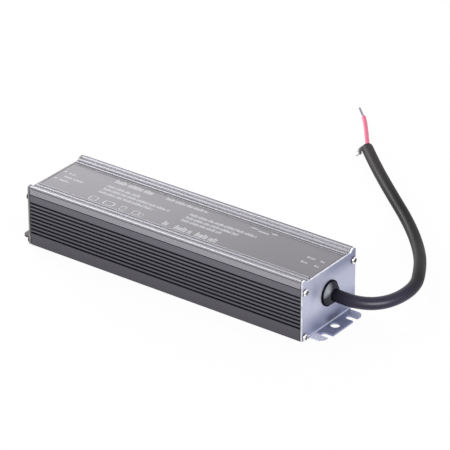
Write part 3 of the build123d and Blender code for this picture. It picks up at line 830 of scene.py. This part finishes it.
class DRIVER_OT_grommets(bpy.types.Operator):
    """Make the rubber grommets"""

    bl_idname = "driver.grommets"
    bl_label = "Grommets"

    def execute(self, context):
        cone_length = 3.0
        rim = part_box("output_grommet")[1].x / MM - cone_length
        soft = grommet_rubber(
            # The rim's colour, the cone's, and the painted highlight on the cone
            "grommet rubber", (0.003, 0.003, 0.006), (0.030, 0.031, 0.038), (0.23, 0.24, 0.265),
            rim, CABLE_ROUTE[0][2],
        )
        for node in ("output_grommet", "input_grommet"):
            piece = merged_copy(node, f"moulded_{node}")
            smooth(piece.data, 32.0)
            finished(piece, soft, "grommet_rubber", node)
        return {"FINISHED"}


# The cable


def route_curve(name, route, diameter):
    """A round tube along a smooth curve that the route's points pull on."""
    curve = bpy.data.curves.new(name, "CURVE")
    curve.dimensions = "3D"
    curve.resolution_u = 12
    curve.bevel_depth = diameter / 2
    curve.bevel_resolution = 8
    curve.use_fill_caps = diameter > 0
    spline = curve.splines.new("NURBS")
    spline.points.add(len(route) - 1)
    for point, (x, y, z) in zip(spline.points, route):
        point.co = (x * MM, y * MM, z * MM, 1.0)
    spline.order_u = 3
    spline.use_endpoint_u = True
    return put_in_scene(name, curve)


def strands_tree():
    """Turns one path into a bundle of fine strands that wind round a middle one."""
    sockets = {
        "Strands": "NodeSocketInt",
        "Strand radius": "NodeSocketFloat",
        "Turns": "NodeSocketFloat",
        "Material": "NodeSocketMaterial",
    }
    tree, source, identifiers = geometry_tree("twisted strands", sockets)

    def vector(operation, inputs):
        return tree.node("ShaderNodeVectorMath", inputs, operation=operation).outputs[0]

    even = tree.node("GeometryNodeResampleCurve", {"Curve": source.outputs["Geometry"], "Count": 48})
    inputs = {"Geometry": even.outputs[0], "Amount": source.outputs["Strands"]}
    copied = tree.node("GeometryNodeDuplicateElements", inputs, domain="SPLINE")
    along = tree.value("GeometryNodeSplineParameter")
    number = Value(tree, copied.outputs["Duplicate Index"])
    turn = (number / source.outputs["Strands"] + along * source.outputs["Turns"]) * (2 * math.pi)
    normal = tree.node("GeometryNodeInputNormal").outputs[0]
    tangent = tree.node("GeometryNodeInputTangent").outputs[0]
    across = vector("CROSS_PRODUCT", {0: normal, 1: tangent})
    reach = Value(tree, source.outputs["Strand radius"]) * 2.0
    first = vector("SCALE", {"Vector": normal, "Scale": turn.math("COSINE") * reach})
    second = vector("SCALE", {"Vector": across, "Scale": turn.math("SINE") * reach})
    inputs = {"Geometry": copied.outputs[0], "Offset": vector("ADD", {0: first, 1: second})}
    wound = tree.node("GeometryNodeSetPosition", inputs)
    both = tree.node("GeometryNodeJoinGeometry", {0: wound.outputs[0]})
    tree.feed(both.inputs[0], even.outputs[0])
    inputs = {"Resolution": 10, "Radius": source.outputs["Strand radius"]}
    ring = tree.node("GeometryNodeCurvePrimitiveCircle", inputs)
    inputs = {"Curve": both.outputs[0], "Profile Curve": ring.outputs[0], "Fill Caps": True}
    tube = tree.node("GeometryNodeCurveToMesh", inputs)
    end_tree(tree, tube.outputs[0], source.outputs["Material"])
    return tree, identifiers


def bare_end(name, route, cable, metal, bundle, node):
    """The bare strands at the end of a wire."""
    path = route_curve(name, route, 0.0)
    settings = {
        "Strands": cable.strands,
        "Strand radius": cable.strand_diameter / 2,
        "Turns": cable.strand_turns,
        "Material": metal,
    }
    piece = apply_tree(path, bundle, settings, name)
    smooth(piece.data, 60.0)
    return finished(piece, metal, "tinned_copper", node)


def cut_face(cable):
    """The cut end of the cable: the jacket's ring round its paler filling."""
    end, before = Vector(CABLE_ROUTE[-1]) * MM, Vector(CABLE_ROUTE[-2]) * MM
    outwards = (end - before).normalized()
    radius = cable.cable_diameter / 2
    # Height above the cut and distance from the cable's middle, from the jacket in to the filling
    profile = [
        (0.0, 0.0), (0.0, radius * 0.97), (0.12 * MM, radius * 0.94), (0.14 * MM, radius * 0.80),
        (0.03 * MM, radius * 0.78), (0.05 * MM, 0.0),
    ]
    shape = spun(profile, 32)
    turn = outwards.to_track_quat("X", "Z").to_matrix().to_4x4()
    bmesh.ops.transform(shape, matrix=Matrix.Translation(end) @ turn, verts=shape.verts)
    mesh = shape_mesh(shape, "cable_end")
    smooth(mesh)
    return put_in_scene("cable_end", mesh)


class DRIVER_OT_cable(bpy.types.Operator):
    """Make the output cable with its wires and bare ends"""

    bl_idname = "driver.cable"
    bl_label = "Output cable"

    def execute(self, context):
        cable = context.scene.driver_cable
        jacket_rubber = cable_rubber("cable rubber", cable.cable_colour, cable.bend_sheen_colour, 0.44)
        red_plastic = resin("red insulation", cable.red_colour, 0.38)
        # Painted light: the black insulation is given a mid grey, so that it shows lighter in the cable's
        # shadow
        black_plastic = resin("black insulation", (0.17, 0.17, 0.176), 0.4)
        red_metal = plain_metal("dark tinned copper", (0.10, 0.095, 0.125), 0.35)
        black_metal = plain_metal("bright tinned copper", (0.66, 0.65, 0.66), 0.35)

        jacket = route_curve("rubber_cable", CABLE_ROUTE, cable.cable_diameter)
        red = route_curve("red_insulation", RED_ROUTE, cable.wire_diameter)
        black = route_curve("black_insulation", BLACK_ROUTE, cable.wire_diameter)
        finished(jacket, jacket_rubber, "cable_rubber", "output_cable")
        finished(red, red_plastic, "red_insulation", "red_wire")
        finished(black, black_plastic, "black_insulation", "black_wire")
        bundle = strands_tree()
        red_end = bare_end(
            "red_bare_strands", RED_STRAND_ROUTE, cable, red_metal, bundle, "red_wire_strands"
        )
        black_end = bare_end(
            "black_bare_strands", BLACK_STRAND_ROUTE, cable, black_metal, bundle, "black_wire_strands"
        )
        face = finished(cut_face(cable), rubber("cable filling", (0.05, 0.05, 0.05), 0.7), "cable_rubber")

        return {"FINISHED"}


# Marks on the cover, in millimetres

# Lines of small print: start and end along the cover, middle across it, height, and width of a stroke
PRINT_LINES = (
    (-65.5, -34.8, 13.3, 4.5, 1.3),
    (-26.5, 4.8, 13.4, 3.0, 0.9),
    (-65.5, -41.0, 5.4, 2.8, 0.8),
    (-65.5, -15.0, 1.2, 2.8, 0.8),
    (-65.5, -24.0, -3.3, 2.8, 0.8),
    (-2.6, 46.3, 5.3, 2.9, 0.8),
    (-2.6, 36.0, 0.9, 2.9, 0.8),
    (-2.6, 26.8, -3.3, 2.9, 0.8),
    (-0.3, 11.8, -12.8, 5.2, 1.3),
    (15.2, 30.4, -12.8, 5.2, 1.3),
    (-9.0, -5.0, -12.8, 5.2, 0.9),
    (-94.8, -89.9, 4.6, 2.0, 0.9),
    (-94.8, -80.5, -0.3, 2.0, 0.9),
    (-94.8, -87.0, -5.2, 2.2, 0.9),
    (84.7, 90.2, 3.1, 2.0, 1.2),
    (84.7, 89.0, -3.4, 2.0, 1.2),
    (94.2, 97.0, 3.1, 1.9, 0.7),
    (94.3, 97.8, -3.4, 1.9, 0.8),
)
# Plain bars and rounded outlines: middle along the cover and across it, then size along and across
BARS = (
    (39.0, 13.5, 5.4, 0.9),
    (46.4, 12.2, 8.0, 1.1),
    (53.2, 14.2, 3.8, 1.2),
    (-98.2, 5.0, 1.8, 1.6),
    (-98.0, -5.2, 1.8, 1.9),
)
OUTLINES = (
    (-62.3, -12.7, 6.2, 5.4),
    (-50.6, -12.7, 8.2, 5.2),
    (-39.9, -12.7, 4.2, 5.4),
    (-30.0, -12.8, 5.0, 5.0),
    (-25.7, -13.2, 2.6, 4.2),
)


def strokes(start, end, middle, height, width):
    """The upright strokes that stand for one line of print, in groups of unequal length."""
    tall = (1.0, 0.72, 0.72, 1.0, 0.78)
    wide = (1.0, 0.75, 1.25, 0.85, 1.1, 0.7)
    group = (5, 7, 4, 6, 8)
    least, gap, space = width * 0.4, width * 0.36, width * 0.8
    made, x, count, groups = [], start, 0, 0
    while x < end - least:
        reach = min(width * wide[len(made) % len(wide)], end - x)
        part = tall[(len(made) + groups) % len(tall)]
        made.append((x + reach / 2, middle - height * (1 - part) / 2, reach, height * part))
        x += reach + gap
        count += 1
        if count == group[groups % len(group)]:
            x, count, groups = x + space, 0, groups + 1
    return made


def rounded_loop(squareness, reach=0.5, points=16):
    """Points on a circle that is drawn out towards a square."""
    loop = []
    for n in range(points):
        turn = 2 * math.pi * (n + 0.5) / points
        sides = (math.cos(turn), math.sin(turn))
        loop.append([math.copysign(abs(side) ** (1 - squareness), side) * reach for side in sides])
    return loop


def flat_shape(name, outer, inner=None):
    """A plate that is 1 high, closed all round, inside one loop and outside the other."""
    shape = bmesh.new()
    loops = [
        [[shape.verts.new((x, y, z)) for x, y in loop] for z in (0.0, 1.0)]
        for loop in (outer, inner) if loop
    ]
    for low, high in loops:
        for n in range(len(low)):
            shape.faces.new((low[n - 1], low[n], high[n], high[n - 1]))
    for level in range(2):
        if inner:
            first, second = loops[0][level], loops[1][level]
            for n in range(len(first)):
                shape.faces.new((first[n - 1], first[n], second[n], second[n - 1]))
        else:
            shape.faces.new(loops[0][level])
    bmesh.ops.recalc_face_normals(shape, faces=shape.faces)
    return put_in_scene(name, shape_mesh(shape, name))


class DRIVER_OT_marks(bpy.types.Operator):
    """Lay plain printed marks on the cover"""

    bl_idname = "driver.marks"
    bl_label = "Marks on the cover"

    def execute(self, context):
        housing = context.scene.driver_housing
        ink = print_ink("pale grey ink", housing.print_colour)
        panel = housing.panel_height
        bars = [stroke for line in PRINT_LINES for stroke in strokes(*line)] + list(BARS)
        shapes = (
            ("printed_bars", flat_shape("bar", rounded_loop(0.8, points=8)), bars),
            ("printed_outlines", flat_shape("outline", rounded_loop(0.5), rounded_loop(0.5, 0.39)), OUTLINES),
        )
        thickness = 0.03 * MM
        for name, shape, marks in shapes:
            places = [(x * MM, y * MM, panel) for x, y, _, _ in marks]
            sizes = [(along * MM, across * MM, thickness) for _, _, along, across in marks]
            finished(copies(name, shape, places, sizes, ink), ink, "cover_metal")
        return {"FINISHED"}


# The inside


class DRIVER_OT_inside(bpy.types.Operator):
    """Give the board and its parts their finishes"""

    bl_idname = "driver.inside"
    bl_label = "Board and parts"

    def execute(self, context):
        black = resin("moulded black", (0.02, 0.02, 0.021), 0.5)
        sleeve = resin("capacitor sleeve", (0.02, 0.03, 0.06), 0.3)
        ferrite = resin("fired ferrite", (0.045, 0.043, 0.047), 0.62, 1600)
        tape = resin("winding tape", (0.72, 0.5, 0.05), 0.35, 400)
        blue = resin("blue coating", (0.02, 0.12, 0.4), 0.35)
        copper = wound_wire("enamelled copper", (0.5, 0.18, 0.05))
        finishes = {
            "output_leads": resin("wire insulation", (0.02, 0.02, 0.02), 0.4),
            "circuit_board": board_lacquer("board lacquer", (0.02, 0.15, 0.06)),
            "insulation_film": resin("insulation film", (0.72, 0.68, 0.55), 0.3),
            "input_fuse": clear_glass("fuse glass", (0.85, 0.9, 0.88)),
            "inrush_thermistor": resin("green coating", (0.03, 0.09, 0.05), 0.4),
            "surge_varistor": blue,
            "film_capacitors": resin("yellow box", (0.72, 0.55, 0.07), 0.45),
            "disc_capacitors": blue,
            "line_choke_core": ferrite,
            "line_choke_windings": copper,
            "bridge_rectifier": black,
            "boost_choke_core": ferrite,
            "boost_choke_bobbin": black,
            "boost_choke_winding": tape,
            "bulk_capacitors": sleeve,
            "transformer_core": ferrite,
            "transformer_bobbin": black,
            "transformer_winding": tape,
            "power_transistors": black,
            "output_rectifiers": black,
            "heat_pads": rubber("heat pad", (0.3, 0.37, 0.45), 0.6),
            "output_choke_core": resin("ring coating", (0.68, 0.5, 0.05), 0.45),
            "output_choke_winding": copper,
            "output_capacitors": sleeve,
            "supply_capacitor": sleeve,
            "optocouplers": resin("white resin", (0.75, 0.75, 0.72), 0.5),
            "control_chips": black,
        }
        for name, material in finishes.items():
            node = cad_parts[name]
            node.data.materials.clear()
            node.data.materials.append(material)
        return {"FINISHED"}


# The stage

# Name, place and sides in metres, and power of each lamp
SOFTBOXES = (
    ("rear softbox", (-0.30, 0.26, 0.21), (0.2, 0.2), 0.12),
    ("left softbox", (-0.45, 0.14, 0.71), (0.35, 0.35), 2.65),
    ("low left softbox", (-1.0, 0.4, 0.25), (0.4, 0.3), 6.5),
    ("right softbox", (1.0, -0.40, 0.36), (0.56, 0.42), 10.0),
)


class DRIVER_OT_stage(bpy.types.Operator):
    """Set up the floor, the light and the camera"""

    bl_idname = "driver.stage"
    bl_label = "Studio"

    # The photograph's view, fitted to the driver's corners. Distance and slide are in millimetres
    azimuth = math.radians(36.487)
    elevation = math.radians(27.739)
    distance = 1930.305
    slide = (21.721, 29.913)
    lens = 256.2

    def camera(self, context):
        turn, rise = self.azimuth, self.elevation
        back = Vector((math.sin(turn) * math.cos(rise), -math.cos(turn) * math.cos(rise), math.sin(rise)))
        right = Vector((math.cos(turn), math.sin(turn), 0.0))
        up = back.cross(right)
        data = bpy.data.cameras.new("camera")
        data.lens = self.lens
        data.sensor_width = 36.0
        data.clip_start = 0.1
        data.clip_end = 50.0
        eye = bpy.data.objects.new("camera", data)
        context.scene.collection.objects.link(eye)
        place = (right * self.slide[0] + up * self.slide[1] + back * self.distance) * MM
        rotation = Matrix((right, up, back)).transposed().to_4x4()
        eye.matrix_world = Matrix.Translation(place) @ rotation
        context.scene.camera = eye

    def seen(self, tree):
        """1 for rays that show the background itself or its mirror image, and 0 for light."""
        path = tree.node("ShaderNodeLightPath")
        shown = ("Is Camera Ray", "Is Glossy Ray", "Is Transmission Ray")
        camera, glossy, transmission = [Value(tree, path.outputs[name]) for name in shown]
        return camera.larger(glossy).larger(transmission)

    def floor(self, stage):
        half = stage.floor_size / 2
        mesh = bpy.data.meshes.new("floor")
        corners = [(-half, -half, 0), (half, -half, 0), (half, half, 0), (-half, half, 0)]
        mesh.from_pydata(corners, [], [(0, 1, 2, 3)])
        floor = put_in_scene("floor", mesh)
        floor.location.z = -0.2 * MM
        material = bpy.data.materials.new("floor")
        material.use_nodes = True
        tree = Tree(material.node_tree)
        tree.tree.nodes.clear()
        paper = tree.node("ShaderNodeBsdfDiffuse", {"Color": (0.9, 0.9, 0.9, 1.0)})
        white = tree.node("ShaderNodeEmission", {"Color": (1.0, 1.0, 1.0, 1.0), "Strength": 1.0})
        share = self.seen(tree) * (1 - stage.shadow)
        mixed = tree.node("ShaderNodeMixShader", {0: share, 1: paper.outputs[0], 2: white.outputs[0]})
        tree.node("ShaderNodeOutputMaterial", {"Surface": mixed.outputs[0]})
        mesh.materials.append(material)

    def world(self, context, stage):
        world = bpy.data.worlds.new("studio")
        world.use_nodes = True
        context.scene.world = world
        tree = Tree(world.node_tree)
        tree.tree.nodes.clear()
        strength = self.seen(tree) * (1 - stage.room_light) + stage.room_light
        light = tree.node("ShaderNodeBackground", {"Color": (1, 1, 1, 1), "Strength": strength})
        tree.node("ShaderNodeOutputWorld", {"Surface": light.outputs[0]})

    def lamp(self, context, name, place, size, power):
        data = bpy.data.lights.new(name, "AREA")
        data.shape = "RECTANGLE"
        data.size, data.size_y = size
        data.energy = power
        lamp = bpy.data.objects.new(name, data)
        context.scene.collection.objects.link(lamp)
        lamp.location = place
        lamp.rotation_euler = (-Vector(place)).to_track_quat("-Z", "Y").to_euler()
        lamp.visible_camera = False

    def execute(self, context):
        stage = context.scene.driver_stage
        self.camera(context)
        self.floor(stage)
        self.world(context, stage)
        for name, place, size, power in SOFTBOXES:
            self.lamp(context, name, place, size, power)
        context.scene.view_settings.view_transform = "Standard"
        return {"FINISHED"}


# The sidebar

OPERATORS = (
    DRIVER_OT_channel,
    DRIVER_OT_cover,
    DRIVER_OT_marks,
    DRIVER_OT_ends,
    DRIVER_OT_screws,
    DRIVER_OT_grommets,
    DRIVER_OT_cable,
    DRIVER_OT_inside,
    DRIVER_OT_stage,
)
SETTINGS = {
    "driver_housing": HousingSettings,
    "driver_screws": ScrewSettings,
    "driver_cable": CableSettings,
    "driver_stage": StageSettings,
}


class DRIVER_PT_sidebar(bpy.types.Panel):
    """The driver's sizes, colours and steps"""

    bl_idname = "DRIVER_PT_sidebar"
    bl_label = "LED driver"
    bl_space_type = "VIEW_3D"
    bl_region_type = "UI"
    bl_category = "LED driver"

    def draw(self, context):
        for name in SETTINGS:
            box = self.layout.box()
            group = getattr(context.scene, name)
            for field in group.__annotations__:
                box.prop(group, field)
        for operator in OPERATORS:
            self.layout.operator(operator.bl_idname)


def register():
    for group in SETTINGS.values():
        bpy.utils.register_class(group)
    for operator in OPERATORS:
        bpy.utils.register_class(operator)
    bpy.utils.register_class(DRIVER_PT_sidebar)
    for name, group in SETTINGS.items():
        setattr(bpy.types.Scene, name, PointerProperty(type=group))


def unregister():
    for name in SETTINGS:
        delattr(bpy.types.Scene, name)
    bpy.utils.unregister_class(DRIVER_PT_sidebar)
    for operator in reversed(OPERATORS):
        bpy.utils.unregister_class(operator)
    for group in SETTINGS.values():
        bpy.utils.unregister_class(group)


def main():
    register()
    bpy.ops.driver.channel()
    bpy.ops.driver.cover()
    bpy.ops.driver.marks()
    bpy.ops.driver.ends()
    bpy.ops.driver.screws()
    bpy.ops.driver.grommets()
    bpy.ops.driver.cable()
    bpy.ops.driver.inside()
    bpy.ops.driver.stage()


if __name__ == "__main__":
    main()
